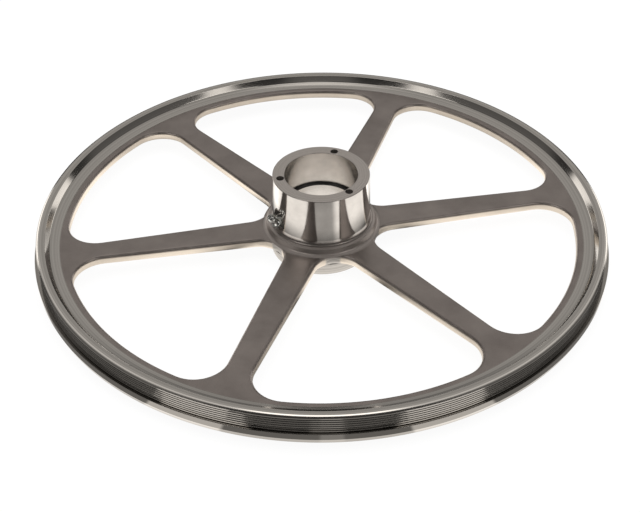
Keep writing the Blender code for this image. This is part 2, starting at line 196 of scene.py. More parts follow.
def patchShape(tree, patch, radius, turn):
    # the patch's strength where it lies, and nothing elsewhere
    strength = patch["strength"]
    if "half" in patch:
        narrow = math.cos(math.radians(patch["half"]))
        wide = math.cos(math.radians(patch["half"] + patch.get("soft", 1)))
        strength = spread(tree, turn, 0, strength, wide, narrow, smooth=True)
    inner, outer = patch["inner"], patch["outer"]
    start = spread(tree, radius, 0, 1, (inner - patch.get("rise", 3)) * mm, inner * mm)
    stop = spread(tree, radius, 1, 0, outer * mm, (outer + patch["fade"]) * mm)
    return mathNode(tree, "MULTIPLY", mathNode(tree, "MULTIPLY", start, stop), strength)


def addCard(values, colour):
    glow = bpy.data.materials.new("cardGlow")
    glow.use_nodes = True
    tree = glow.node_tree
    tree.nodes.clear()
    place = tree.nodes.new("ShaderNodeTexCoord").outputs["Object"]
    radius = radiusOf(tree, place)[0]
    nonZero = mathNode(tree, "ADD", radius, 0.01 * mm)
    total = None
    for patch in values["patches"]:
        toward = tree.nodes.new("ShaderNodeVectorMath")
        toward.operation = "DOT_PRODUCT"
        toward.inputs[1].default_value = direction(patch.get("azimuth", 0), 0)
        tree.links.new(place, toward.inputs[0])
        shape = patchShape(tree, patch, radius, mathNode(tree, "DIVIDE", toward.outputs["Value"], nonZero))
        total = shape if total is None else mathNode(tree, "ADD", total, shape)
    light = tree.nodes.new("ShaderNodeEmission")
    light.inputs["Color"].default_value = (*colour, 1)
    tree.links.new(total, light.inputs["Strength"])
    output = tree.nodes.new("ShaderNodeOutputMaterial")
    tree.links.new(light.outputs["Emission"], output.inputs["Surface"])
    deselectAll()
    bpy.ops.mesh.primitive_circle_add(vertices=96, radius=values["radius"], fill_type="NGON",
                                      location=(0, 0, values["height"]))
    sheet = bpy.context.object
    sheet.name = "bounceCard"
    sheet.visible_camera = False
    sheet.visible_diffuse = False
    sheet.visible_shadow = False
    sheet.data.materials.append(glow)


def deselectAll():
    active = bpy.context.view_layer.objects.active
    if active and active.mode != "OBJECT":
        bpy.ops.object.mode_set(mode="OBJECT")
    bpy.ops.object.select_all(action="DESELECT")


def pick(piece):
    deselectAll()
    piece.select_set(True)
    bpy.context.view_layer.objects.active = piece


def roundedSection(corners, segments=5):
    # corners are (radius, height, fillet) in millimetres, the result is in metres
    points = []
    count = len(corners)
    for i, (r, z, fillet) in enumerate(corners):
        here = Vector((r, z))
        if not fillet:
            points.append(here * mm)
            continue
        before = (Vector(corners[i - 1][:2]) - here).normalized()
        after = (Vector(corners[(i + 1) % count][:2]) - here).normalized()
        half = before.angle(after) / 2
        reach = fillet / math.tan(half)
        centre = here + (before + after).normalized() * (fillet / math.sin(half))
        start = here + before * reach - centre
        swing = math.pi - 2 * half
        side = 1 if start.x * after.y > start.y * after.x else -1
        for k in range(segments + 1):
            turn = Matrix.Rotation(side * swing * k / segments, 2)
            points.append((centre + turn @ start) * mm)
    return points


def drawSection(name, points, closed=True):
    # one point is drawn out corner by corner into a section in the XZ plane
    deselectAll()
    bpy.ops.mesh.primitive_plane_add(size=1 * mm)
    piece = bpy.context.object
    piece.name = name
    piece.data.name = name
    bpy.ops.object.mode_set(mode="EDIT")
    bpy.ops.mesh.select_all(action="SELECT")
    bpy.ops.mesh.merge(type="CENTER")
    bpy.ops.transform.translate(value=(points[0].x, 0, points[0].y))
    for last, point in zip(points, points[1:]):
        step = (point.x - last.x, 0, point.y - last.y)
        bpy.ops.mesh.extrude_vertices_move(TRANSFORM_OT_translate={"value": step})
    if closed:
        mesh = bmesh.from_edit_mesh(piece.data)
        for vert in mesh.verts:
            vert.select = len(vert.link_edges) == 1
        mesh.select_flush_mode()
        bmesh.update_edit_mesh(piece.data)
        bpy.ops.mesh.edge_face_add()
    return piece


def spinSection(piece, steps, angle=2 * math.pi):
    bpy.ops.mesh.select_all(action="SELECT")
    bpy.ops.mesh.spin(steps=steps, angle=angle, center=(0, 0, 0), axis=(0, 0, 1))
    bpy.ops.mesh.select_all(action="SELECT")
    bpy.ops.mesh.remove_doubles(threshold=0.0005 * mm)
    bpy.ops.mesh.normals_make_consistent(inside=False)
    bpy.ops.object.mode_set(mode="OBJECT")
    return piece


def applyModifier(piece, kind, **values):
    pick(piece)
    modifier = piece.modifiers.new(kind.lower(), kind)
    for key, value in values.items():
        setattr(modifier, key, value)
    bpy.ops.object.modifier_apply(modifier=modifier.name)


def carve(piece, cutter, keep=False):
    applyModifier(piece, "BOOLEAN", operation="DIFFERENCE", solver="EXACT", object=cutter)
    if not keep:
        bpy.data.objects.remove(cutter)


def unite(piece, other):
    applyModifier(piece, "BOOLEAN", operation="UNION", solver="EXACT", object=other)
    bpy.data.objects.remove(other)


def settle(piece, material, angle=32):
    pick(piece)
    bpy.ops.object.transform_apply(location=True, rotation=True, scale=True)
    bpy.ops.object.shade_smooth_by_angle(angle=math.radians(angle))
    applyModifier(piece, "WEIGHTED_NORMAL", mode="FACE_AREA_WITH_ANGLE", weight=80, keep_sharp=True)
    piece.data.materials.clear()
    piece.data.materials.append(material)


def rodCutter(name, radius, low, high, place, vertices=64, corner=0.0):
    deselectAll()
    bpy.ops.mesh.primitive_cylinder_add(vertices=vertices, radius=radius, depth=high - low,
                                        location=(0, 0, (low + high) / 2))
    rod = bpy.context.object
    rod.name = name
    if corner:
        bpy.ops.object.mode_set(mode="EDIT")
        mesh = bmesh.from_edit_mesh(rod.data)
        for edge in mesh.edges:
            edge.select = all(v.co.z < 0 for v in edge.verts)
        mesh.select_flush_mode()
        bmesh.update_edit_mesh(rod.data)
        bpy.ops.mesh.bevel(offset=corner, segments=4)
    pick(rod)
    bpy.ops.object.transform_apply(location=True, rotation=True, scale=True)
    rod.matrix_world = place
    bpy.ops.object.transform_apply(location=True, rotation=True, scale=True)
    return rod


def newMetal(name, metallic=1.0):
    material = bpy.data.materials.new(name)
    material.use_nodes = True
    tree = material.node_tree
    shader = tree.nodes["Principled BSDF"]
    shader.inputs["Metallic"].default_value = metallic
    coordinates = tree.nodes.new("ShaderNodeTexCoord")
    return material, tree, shader, coordinates.outputs["Object"]


def mathNode(tree, operation, first, second=None):
    node = tree.nodes.new("ShaderNodeMath")
    node.operation = operation
    for socket, value in zip(node.inputs, (first, second)):
        if isinstance(value, (int, float)):
            socket.default_value = value
        elif value is not None:
            tree.links.new(value, socket)
    return node.outputs["Value"]


def radiusOf(tree, place):
    split = tree.nodes.new("ShaderNodeSeparateXYZ")
    tree.links.new(place, split.inputs[0])
    squares = [mathNode(tree, "MULTIPLY", split.outputs[k], split.outputs[k]) for k in ("X", "Y")]
    return mathNode(tree, "SQRT", mathNode(tree, "ADD", *squares)), split.outputs["Z"]


def noiseNode(tree, source, scale, detail=3.0, roughness=0.55, lines=False):
    noise = tree.nodes.new("ShaderNodeTexNoise")
    if lines:
        noise.noise_dimensions = "1D"
    noise.inputs["Scale"].default_value = scale
    noise.inputs["Detail"].default_value = detail
    noise.inputs["Roughness"].default_value = roughness
    tree.links.new(source, noise.inputs["W" if lines else "Vector"])
    return noise.outputs["Fac"]


def spread(tree, value, low, high, fromLow=0.3, fromHigh=0.7, smooth=False):
    ranged = tree.nodes.new("ShaderNodeMapRange")
    if smooth:
        ranged.interpolation_type = "SMOOTHSTEP"
    tree.links.new(value, ranged.inputs["Value"])
    for key, number in (("From Min", fromLow), ("From Max", fromHigh), ("To Min", low), ("To Max", high)):
        ranged.inputs[key].default_value = number
    return ranged.outputs["Result"]


def tint(tree, value, dark, light):
    mix = tree.nodes.new("ShaderNodeMix")
    mix.data_type = "RGBA"
    for socket, colour in ((mix.inputs["A"], dark), (mix.inputs["B"], light)):
        if isinstance(colour, tuple):
            socket.default_value = (*colour, 1)
        else:
            tree.links.new(colour, socket)
    tree.links.new(value, mix.inputs["Factor"])
    return mix.outputs["Result"]


def blendValue(tree, mask, first, second):
    mix = tree.nodes.new("ShaderNodeMix")
    mix.data_type = "FLOAT"
    tree.links.new(mask, mix.inputs["Factor"])
    tree.links.new(first, mix.inputs["A"])
    tree.links.new(second, mix.inputs["B"])
    return mix.outputs["Result"]


def addBump(tree, shader, height, distance, strength):
    bump = tree.nodes.new("ShaderNodeBump")
    bump.inputs["Distance"].default_value = distance
    bump.inputs["Strength"].default_value = strength
    tree.links.new(height, bump.inputs["Height"])
    tree.links.new(bump.outputs["Normal"], shader.inputs["Normal"])


# colours, roughness ranges and the sizes of the patterns
wheelFinish = {"castDark": (0.26, 0.232, 0.22), "castLight": (0.41, 0.37, 0.352),
               "turnedDark": (0.40, 0.385, 0.365), "turnedLight": (0.58, 0.56, 0.535),
               # the cut colours are bare metal lightened to cream: a painted reflection of the pale floor
               "cutReflectionDark": (0.66, 0.59, 0.51), "cutReflectionLight": (0.88, 0.80, 0.70),
               "bossColour": (0.46, 0.42, 0.40), "crownHighlight": (0.93, 0.90, 0.86),
               "treadColour": (0.36, 0.345, 0.325), "grooveShade": (0.07, 0.067, 0.064),
               "castRoughness": (0.34, 0.46), "turnedRoughness": (0.07, 0.14),
               "bossRoughness": (0.40, 0.5), "treadPolish": 0.5, "grooveRoughness": 0.5,
               "cloudScale": 42, "grainScale": 1700, "ringScale": 650, "ringSlant": 0.83, "cloudShare": 0.7,
               "bump": 0.004 * mm, "bumpStrength": 0.6, "ringRelief": 0.4,
               # where one finish, painted highlight, painted reflection or painted shade ends and the next
               # begins: radii, and heights for the cut, crown and tread
               "bossEdge": 42.0 * mm, "rimEdge": 187.2 * mm, "blend": 0.3 * mm,
               "cutTop": 19.0 * mm, "cutFade": 1.2 * mm,
               "treadFrom": (200.0 * mm, 201.0 * mm), "treadTo": (25.4 * mm, 25.7 * mm),
               "grooveEdge": (202.85 * mm, 203.1 * mm),
               "crownFrom": (200.8 * mm, 200.95 * mm), "crownAbove": (26.6 * mm, 26.7 * mm)}


def wheelMetal():
    v = wheelFinish
    material, tree, shader, place = newMetal("castAndTurnedSteel")
    radius, height = radiusOf(tree, place)
    rim = spread(tree, radius, 0, 1, v["rimEdge"] - v["blend"], v["rimEdge"] + v["blend"])
    boss = spread(tree, radius, 1, 0, v["bossEdge"] - v["blend"], v["bossEdge"] + v["blend"])
    turned = mathNode(tree, "MAXIMUM", rim, boss)
    clouds = noiseNode(tree, place, v["cloudScale"], 4)
    grain = noiseNode(tree, place, v["grainScale"], 2)
    along = mathNode(tree, "ADD", radius, mathNode(tree, "MULTIPLY", height, v["ringSlant"]))
    rings = noiseNode(tree, along, v["ringScale"], 3, lines=True)
    tone = mathNode(tree, "ADD", mathNode(tree, "MULTIPLY", clouds, v["cloudShare"]),
                    mathNode(tree, "MULTIPLY", grain, 1 - v["cloudShare"]))
    skin = tint(tree, spread(tree, tone, 0, 1), v["castDark"], v["castLight"])
    # below the web's upper face the casting is bare cut metal, painted lighter cream as a painted
    # reflection of the pale floor
    bareWithReflection = tint(tree, spread(tree, tone, 0, 1), v["cutReflectionDark"], v["cutReflectionLight"])
    # 1 on the web's upper face, 0 down in the windows and below
    above = spread(tree, height, 0, 1, v["cutTop"] - v["cutFade"], v["cutTop"])
    castColour = tint(tree, above, bareWithReflection, skin)
    turnedColour = tint(tree, spread(tree, rings, 0, 1), v["turnedDark"], v["turnedLight"])
    turnedColour = tint(tree, mathNode(tree, "MULTIPLY", boss, above), turnedColour, v["bossColour"])
    # the crown bevel is painted near white: a painted highlight along the crown edge
    crown = mathNode(tree, "MULTIPLY", spread(tree, radius, 0, 1, *v["crownFrom"]),
                     spread(tree, height, 0, 1, *v["crownAbove"]))
    turnedColour = tint(tree, crown, turnedColour, v["crownHighlight"])
    tread = mathNode(tree, "MULTIPLY", spread(tree, radius, 0, 1, *v["treadFrom"]),
                     spread(tree, height, 1, 0, *v["treadTo"]))
    turnedColour = tint(tree, tread, turnedColour, v["treadColour"])
    # the groove bottoms are painted near black: painted shade in the grooves
    groove = mathNode(tree, "MULTIPLY", tread, spread(tree, radius, 1, 0, *v["grooveEdge"]))
    turnedColour = tint(tree, groove, turnedColour, v["grooveShade"])
    tree.links.new(tint(tree, turned, castColour, turnedColour), shader.inputs["Base Color"])
    castRough = spread(tree, tone, *v["castRoughness"])
    rimRough = spread(tree, rings, *v["turnedRoughness"])
    turnedRough = blendValue(tree, boss, rimRough, spread(tree, rings, *v["bossRoughness"]))
    roughness = blendValue(tree, turned, castRough, turnedRough)
    roughness = mathNode(tree, "MULTIPLY", roughness, spread(tree, tread, 1, v["treadPolish"], 0, 1))
    grooveMatte = mathNode(tree, "MULTIPLY", groove, v["grooveRoughness"])
    tree.links.new(mathNode(tree, "MAXIMUM", roughness, grooveMatte), shader.inputs["Roughness"])
    relief = mathNode(tree, "MULTIPLY", rings, spread(tree, tread, v["ringRelief"], 0, 0, 1))
    addBump(tree, shader, blendValue(tree, turned, grain, relief), v["bump"], v["bumpStrength"])
    return material


hubFinish = {"dark": (0.60, 0.575, 0.55), "light": (0.72, 0.695, 0.665),
             "footShadeColour": (0.33, 0.30, 0.285), "faceColour": (0.55, 0.515, 0.49),
             "polished": (0.09, 0.13), "faced": (0.24, 0.34), "bored": (0.25, 0.27), "foot": (0.3, 0.38),
             "ringScale": 3300, "smudgeScale": 90, "bump": 0.001 * mm, "bumpStrength": 0.5,
             # where one finish or the painted shade at the foot ends and the next begins
             "faceHeight": 62.2 * mm, "boreRadius": 27.0 * mm, "blend": 0.2 * mm,
             "footTop": 30.5 * mm, "footFade": 4 * mm, "footBottom": 19.5 * mm, "footEdge": 0.5 * mm}


def hubMetal():
    v = hubFinish
    material, tree, shader, place = newMetal("polishedHubSteel")
    radius, height = radiusOf(tree, place)
    face = spread(tree, height, 0, 1, v["faceHeight"], v["faceHeight"] + v["blend"])
    bore = spread(tree, radius, 1, 0, v["boreRadius"], v["boreRadius"] + v["blend"])
    rings = noiseNode(tree, mathNode(tree, "ADD", radius, height), v["ringScale"], 2, lines=True)
    smudge = noiseNode(tree, place, v["smudgeScale"], 3)
    # the flare at the sleeve's foot, where it meets the wheel, is painted darker: painted shade in the
    # crease
    low = mathNode(tree, "MULTIPLY", spread(tree, height, 1, 0, v["footTop"] - v["footFade"], v["footTop"]),
                   spread(tree, height, 0, 1, v["footBottom"], v["footBottom"] + v["footEdge"]))
    low = mathNode(tree, "MULTIPLY", low, mathNode(tree, "SUBTRACT", 1, bore))
    colour = tint(tree, spread(tree, smudge, 0, 1), v["dark"], v["light"])
    colour = tint(tree, face, tint(tree, low, colour, v["footShadeColour"]), v["faceColour"])
    tree.links.new(colour, shader.inputs["Base Color"])
    polished = blendValue(tree, low, spread(tree, smudge, *v["polished"]), spread(tree, smudge, *v["foot"]))
    faced = spread(tree, rings, *v["faced"])
    bored = spread(tree, rings, *v["bored"])
    roughness = blendValue(tree, face, blendValue(tree, bore, polished, bored), faced)
    tree.links.new(roughness, shader.inputs["Roughness"])
    matte = spread(tree, face, 0.1, 1, 0, 1)
    addBump(tree, shader, mathNode(tree, "MULTIPLY", rings, matte), v["bump"], v["bumpStrength"])
    return material


def plainMetal(name, dark, light, roughness, scale, metallic=1.0):
    material, tree, shader, place = newMetal(name, metallic)
    grain = noiseNode(tree, place, scale, 3)
    tree.links.new(tint(tree, spread(tree, grain, 0, 1), dark, light), shader.inputs["Base Color"])
    tree.links.new(spread(tree, grain, *roughness), shader.inputs["Roughness"])
    addBump(tree, shader, grain, 0.006 * mm, 0.5)
    return material


# millimetres, and corners of the turned section are (radius, height, fillet)
wheel = {"treadRadius": 203.2, "treadTop": 26.2, "steps": 360,
         "grooves": 6, "groovePitch": 1.76, "firstGroove": 15.8, "grooveDepth": 0.95, "grooveWidth": 1.25,
         "flangeRadius": 205.5, "flangeTop": 15.0, "flangeEdge": 10.6,
         "crown": [(201.0, 27.1, 0.1), (201.9, 26.85, 0.1)],
         "lip": [(190.5, 21.0, 12.0), (194.3, 22.3, 1.6), (197.1, 26.6, 0.5)],
         "rimUnderside": [(204.2, 6.8, 0.4), (196.0, 6.8, 0.8), (192.5, 9.2, 0.8)],
         "webTop": 20.0, "webBottom": 12.8, "webEdge": 187.2, "webStep": 0.1, "webUnderEdge": 190.0,
         "bossUnderside": [(36.6, 10.2, 1.0), (36.2, 0.3, 0.6)], "bossUnderEdge": 41.0,
         "boss": [(38.7, 24.6, 0.3), (40.2, 21.2, 2.2)], "bossFoot": 43.0,
         "boreRadius": 31.0, "boreBottom": 0.3,
         "counterbore": 37.05, "counterboreHeight": 20.0, "jointTop": 25.75,
         "spokes": 6, "spokePhase": 11.05, "spokeInner": (51.4, 12.0), "spokeOuter": (174.7, 8.8),
         "windowRadius": 182.5, "cornerRadius": 21.5, "endRadius": 16.8, "tipGrowth": 0.3,
         "cornerSteps": 14, "rimSteps": 40, "endSteps": 24,
         # the window's edges are rounded by this much, over this arc, and leave the face at this angle
         "edgeRounding": 2.6, "edgeArc": 78, "edgeSteps": 6, "edgeExit": 12, "edgePast": 0.25}


def treadCorners(v):
    corners = []
    for i in reversed(range(v["grooves"])):
        z = v["firstGroove"] + i * v["groovePitch"]
        half = v["grooveWidth"] / 2
        corners += [(v["treadRadius"], z + half, 0.04), (v["treadRadius"] - v["grooveDepth"], z, 0.1),
                    (v["treadRadius"], z - half, 0.04)]
    return corners


def wheelCorners(v):
    outer = v["crown"] + [(v["treadRadius"], v["treadTop"], 0.25)] + treadCorners(v)
    outer += [(v["treadRadius"], v["flangeTop"], 0), (v["flangeRadius"], v["flangeTop"], 0.25)]
    outer += [(v["flangeRadius"], v["flangeEdge"], 0.5)]
    under = v["rimUnderside"] + [(v["webUnderEdge"], v["webBottom"], 4.0)]
    under += [(v["bossUnderEdge"], v["webBottom"], 2.5)] + v["bossUnderside"]
    bore = [(v["boreRadius"], v["boreBottom"], 0.3), (v["boreRadius"], v["counterboreHeight"], 0)]
    bore += [(v["counterbore"], v["counterboreHeight"], 0), (v["counterbore"], v["jointTop"], 0.12)]
    web = [(v["bossFoot"], v["webTop"], 4.0), (v["webEdge"], v["webTop"], 0)]
    web += [(v["webEdge"], v["webTop"] + v["webStep"], 0.05)]
    return outer + under + bore + v["boss"] + web + v["lip"]


def spokeLine(v, azimuth, side):
    # direction of a spoke, and the normal and offset of one of its edges
    along = Vector((math.cos(azimuth), math.sin(azimuth)))
    across = Vector((-along.y, along.x)) * side
    (innerAt, innerHalf), (outerAt, outerHalf) = v["spokeInner"], v["spokeOuter"]
    slope = (outerHalf - innerHalf) / (outerAt - innerAt)
    offset = (innerHalf - slope * innerAt) / math.hypot(1, slope)
    return along, (across - along * slope).normalized(), offset


def wrap(angle):
    return (angle + math.pi) % (2 * math.pi) - math.pi


def windowCorner(v, azimuth, side, grow):
    along, normal, offset = spokeLine(v, azimuth, side)
    radius = v["cornerRadius"] + grow
    height = offset - grow + radius
    tangent = Vector((normal.y, -normal.x))
    if tangent.dot(along) < 0:
        tangent = -tangent
    centre = normal * height + tangent * math.sqrt((v["windowRadius"] + grow - radius) ** 2 - height ** 2)
    return centre, radius, math.atan2(-normal.y, -normal.x), math.atan2(centre.y, centre.x)


def windowEnd(v, azimuth, grow):
    # the round end near the hub, whose tip moves less than the sides when the outline grows
    step = 2 * math.pi / v["spokes"]
    along, normal, offset = spokeLine(v, azimuth + step, -1)
    toward = Vector((math.cos(azimuth + step / 2), math.sin(azimuth + step / 2)))
    part = normal.dot(toward)
    tip = (offset + v["endRadius"]) / part - v["endRadius"] - v["tipGrowth"] * grow
    radius = (tip - (offset - grow) / part) / (1 / part - 1)
    start = math.atan2(-normal.y, -normal.x)
    return toward * (tip + radius), radius, start, 2 * wrap(azimuth + step / 2 + math.pi - start)


def windowOutline(v, azimuth, grow):
    step = 2 * math.pi / v["spokes"]
    first, radius, firstSpoke, firstRim = windowCorner(v, azimuth, 1, grow)
    last, radius, lastSpoke, lastRim = windowCorner(v, azimuth + step, -1, grow)
    end, endRadius, endStart, endTurn = windowEnd(v, azimuth, grow)
    arcs = [(first, radius, firstSpoke, wrap(firstRim - firstSpoke), v["cornerSteps"]),
            (Vector((0, 0)), v["windowRadius"] + grow, firstRim, wrap(lastRim - firstRim), v["rimSteps"]),
            (last, radius, lastRim, wrap(lastSpoke - lastRim), v["cornerSteps"]),
            (end, endRadius, endStart, endTurn, v["endSteps"])]
    points = []
    for centre, size, start, turn, count in arcs:
        for i in range(count + 1):
            angle = start + turn * i / count
            point = centre + Vector((math.cos(angle), math.sin(angle))) * size
            if not points or (point - points[-1]).length > 0.001:
                points.append(point)
    return points


def windowLevels(v):
    # (height, growth) pairs: straight in the middle, rounded over the faces, then past them
    size = v["edgeRounding"]
    past = v["edgePast"]
    levels = []
    for face, way in ((v["webTop"], 1), (v["webBottom"], -1)):
        arc = []
        for i in range(v["edgeSteps"] + 1):
            angle = math.radians(v["edgeArc"]) * i / v["edgeSteps"]
            arc.append((face - way * size * (1 - math.sin(angle)), size * (1 - math.cos(angle))))
        slope = math.tan(math.radians(v["edgeExit"]))
        last = arc[-1]
        arc.append((face + way * past, last[1] + (abs(face - last[0]) + past) / slope))
        levels.append(arc)
    return list(reversed(levels[1])) + levels[0]


def windowCutter(v):
    azimuth = math.radians(v["spokePhase"])
    levels = windowLevels(v)
    outline = windowOutline(v, azimuth, levels[0][1])
    deselectAll()
    bpy.ops.mesh.primitive_circle_add(vertices=len(outline), radius=0.1, fill_type="NGON")
    cutter = bpy.context.object
    cutter.name = "windowCutter"
    for vert, point in zip(cutter.data.vertices, outline):
        vert.co = (point.x * mm, point.y * mm, levels[0][0] * mm)
    bpy.ops.object.mode_set(mode="EDIT")
    bpy.ops.mesh.select_all(action="SELECT")
    for (low, lowGrow), (high, highGrow) in zip(levels, levels[1:]):
        bpy.ops.mesh.extrude_region_move(TRANSFORM_OT_translate={"value": (0, 0, (high - low) * mm)})
        before = windowOutline(v, azimuth, lowGrow)
        after = windowOutline(v, azimuth, highGrow)
        mesh = bmesh.from_edit_mesh(cutter.data)
        for vert in mesh.verts:
            if vert.select:
                here = vert.co.xy / mm
                k = min(range(len(before)), key=lambda i: (before[i] - here).length_squared)
                vert.co.xy = after[k] * mm
        bmesh.update_edit_mesh(cutter.data)
    bpy.ops.mesh.select_all(action="SELECT")
    bpy.ops.mesh.normals_make_consistent(inside=False)
    bpy.ops.object.mode_set(mode="OBJECT")
    return cutter


def aroundAxis(piece, count):
    # copies of a piece spaced round the wheel's axis and joined to it
    copies = []
    for i in range(1, count):
        copy = piece.copy()
        copy.data = piece.data.copy()
        bpy.context.scene.collection.objects.link(copy)
        copy.matrix_world = Matrix.Rotation(2 * math.pi * i / count, 4, "Z")
        copies.append(copy)
    pick(piece)
    for copy in copies:
        copy.select_set(True)
    bpy.ops.object.join()
    return piece


def makeWheel():
    v = wheel
    piece = drawSection("wheelCasting", roundedSection(wheelCorners(v)))
    spinSection(piece, v["steps"])
    carve(piece, aroundAxis(windowCutter(v), v["spokes"]))
    return piece


hub = {"top": 62.6, "topRadius": 34.4, "waist": (34.75, 46.0, 60), "footRadius": 35.15, "steps": 256,
       "flareHeight": 30.0, "flareSteps": 15, "joint": 25.8, "jointRadius": 37.0,
       "shoulder": 20.1, "bodyRadius": 30.7, "seatRadius": 26.0, "cavityRadius": 24.6, "lowerSeat": 15.0,
       "ringTop": 36.9, "ringThickness": 1.2, "ringRadius": 26.7, "ringPlay": 0.1, "grooveRoom": 0.3,
       "screws": 3, "screwRadius": 29.3, "holeRadius": 2.45, "holeDepth": 12.0,
       "threadPitch": 0.8, "threadDepth": 0.4, "countersink": 0.35}

nipple = {"azimuth": 208.8, "tilt": 50, "radius": 35.2, "height": 32.2,
          "pocketRadius": 7.9, "pocketCorner": 0.6, "passageRadius": 1.25, "passageEnd": 18,
          "hexHalf": 1.5, "hexCorner": 4.6, "hexChamfer": 0.48, "collarRadius": 3.2,
          "shankRadius": 2.7, "shankLength": 4.5, "threads": 5, "threadPitch": 0.75, "threadDepth": 0.4,
          "headRadius": 3.25, "headHeight": 7.6, "headUnder": 2.75, "neckRadius": 2.2,
          "tip": 10.0, "tipRadius": 1.9, "shoulderRadius": 2.95, "shoulderDrop": 1.2,
          "ballRadius": 1.2, "chamberRadius": 1.5, "chamberFloor": 1.8, "greaseHole": 0.8,
          "seatHole": 0.85, "seatTop": 0.8, "seatBottom": 1.6}


def hubCorners(v):
    foot = v["footRadius"]
    flare = [(foot + (v["jointRadius"] - foot) * (1 - math.cos(turn)),
              v["flareHeight"] - (v["flareHeight"] - v["joint"]) * math.sin(turn), 0)
             for turn in (math.pi / 2 * k / v["flareSteps"] for k in range(v["flareSteps"] + 1))]
    corners = [(v["seatRadius"], v["top"], 0.4), (v["topRadius"], v["top"], 0.5), v["waist"]] + flare
    corners += [(v["jointRadius"], v["shoulder"], 0), (v["bodyRadius"], v["shoulder"], 0)]
    corners += [(v["bodyRadius"], 0, 0.5)]
    corners += [(v["seatRadius"], 0, 0.4), (v["seatRadius"], v["lowerSeat"], 0)]
    corners += [(v["cavityRadius"], v["lowerSeat"], 0.3)]
    low = v["ringTop"] - v["ringThickness"] - v["ringPlay"]
    high = v["ringTop"] + v["ringPlay"]
    groove = v["ringRadius"] + v["grooveRoom"]
    corners += [(v["cavityRadius"], low, 0.2), (groove, low, 0), (groove, high, 0)]
    corners += [(v["seatRadius"], high, 0.1)]
    return corners


def firstScrew():
    # the tapped holes lie in line with every second spoke
    return math.radians(wheel["spokePhase"] + 360 / wheel["spokes"])


def tappedHoleCutter(v):
    # a tapped hole with its countersink, thread ridges and drill point
    radius, sink = v["holeRadius"], v["countersink"]
    low = v["top"] - v["holeDepth"]
    corners = [(0, v["top"] + 1, 0), (radius + sink, v["top"] + 1, 0), (radius + sink, v["top"], 0)]
    corners += [(radius, v["top"] - sink, 0)]
    for i in range(int((v["holeDepth"] - 2.5) / v["threadPitch"])):
        z = v["top"] - 0.5 - i * v["threadPitch"]
        corners += [(radius + 0.05, z, 0), (radius + 0.05 - v["threadDepth"], z - v["threadPitch"] / 2, 0)]
    corners += [(radius - 0.3, low + 1.3, 0), (0, low, 0)]
    cutter = drawSection("tappedHole", roundedSection(corners), closed=False)
    spinSection(cutter, 32)
    place = Vector((math.cos(firstScrew()), math.sin(firstScrew()), 0)) * v["screwRadius"] * mm
    cutter.location = place
    bpy.ops.object.transform_apply(location=True, rotation=True, scale=True)
    return aroundAxis(cutter, v["screws"])


def lineTappedHoles(piece, v, material):
    # the tapped holes are painted near black: painted shade down in the holes
    piece.data.materials.append(material)
    wide = (v["holeRadius"] + 0.3) * mm
    azimuths = [firstScrew() + 2 * math.pi * k / v["screws"] for k in range(v["screws"])]
    places = [Vector((math.cos(a), math.sin(a))) * v["screwRadius"] * mm for a in azimuths]
    for face in piece.data.polygons:
        near = min((face.center.xy - place).length for place in places)
        if near < wide and face.center.z < (v["top"] - 0.05) * mm:
            face.material_index = 1


def nippleFrame(v):
    azimuth = math.radians(v["azimuth"])
    tilt = math.radians(v["tilt"])
    radial = Vector((math.cos(azimuth), math.sin(azimuth), 0))
    axis = radial * math.cos(tilt) + Vector((0, 0, math.sin(tilt)))
    side = Vector((0, 0, 1)).cross(radial)
    turn = Matrix((side, axis.cross(side), axis)).transposed().to_4x4()
    return Matrix.Translation(radial * v["radius"] * mm + Vector((0, 0, v["height"] * mm))) @ turn


def makeHub():
    piece = drawSection("hubSleeve", roundedSection(hubCorners(hub)))
    spinSection(piece, hub["steps"])
    carve(piece, tappedHoleCutter(hub))
    return piece


def cutNippleSeat(casting, sleeve):
    v = nipple
    place = nippleFrame(v)
    floor = -(v["hexHalf"] + 0.05) * mm
    pocket = rodCutter("pocketCutter", v["pocketRadius"] * mm, floor, floor + 26 * mm, place, 96,
                       v["pocketCorner"] * mm)
    carve(casting, pocket, keep=True)
    carve(sleeve, pocket)
    hole = rodCutter("nippleHole", (v["shankRadius"] + 0.25) * mm,
                     floor - (v["shankLength"] + 0.3) * mm, floor + 1 * mm, place)
    carve(sleeve, hole)
    passage = rodCutter("greasePassage", v["passageRadius"] * mm, -v["passageEnd"] * mm, -4 * mm, place, 32)
    carve(sleeve, passage)


ring = {"outer": 26.7, "inner": 24.0, "gap": 16, "chamfer": 0.12}


def makeRing():
    v = ring
    high = hub["ringTop"]
    low = high - hub["ringThickness"]
    corners = [(v["outer"], high, v["chamfer"]), (v["outer"], low, v["chamfer"]),
               (v["inner"], low, v["chamfer"]), (v["inner"], high, v["chamfer"])]
    piece = drawSection("stopRing", roundedSection(corners, 3))
    bpy.ops.mesh.select_all(action="SELECT")
    half = math.radians(v["gap"] / 2)
    bpy.ops.transform.rotate(value=math.pi / 2 - half, orient_axis="Z", center_override=(0, 0, 0))
    spinOpen(piece, 180, 2 * math.pi - 2 * half)
    return piece


def spinOpen(piece, steps, angle):
    bpy.ops.mesh.select_all(action="SELECT")
    bpy.ops.mesh.edge_face_add()
    bpy.ops.mesh.select_all(action="SELECT")
    bpy.ops.mesh.spin(steps=steps, angle=angle, center=(0, 0, 0), axis=(0, 0, 1))
    bpy.ops.mesh.select_all(action="SELECT")
    bpy.ops.mesh.normals_make_consistent(inside=False)
    bpy.ops.object.mode_set(mode="OBJECT")


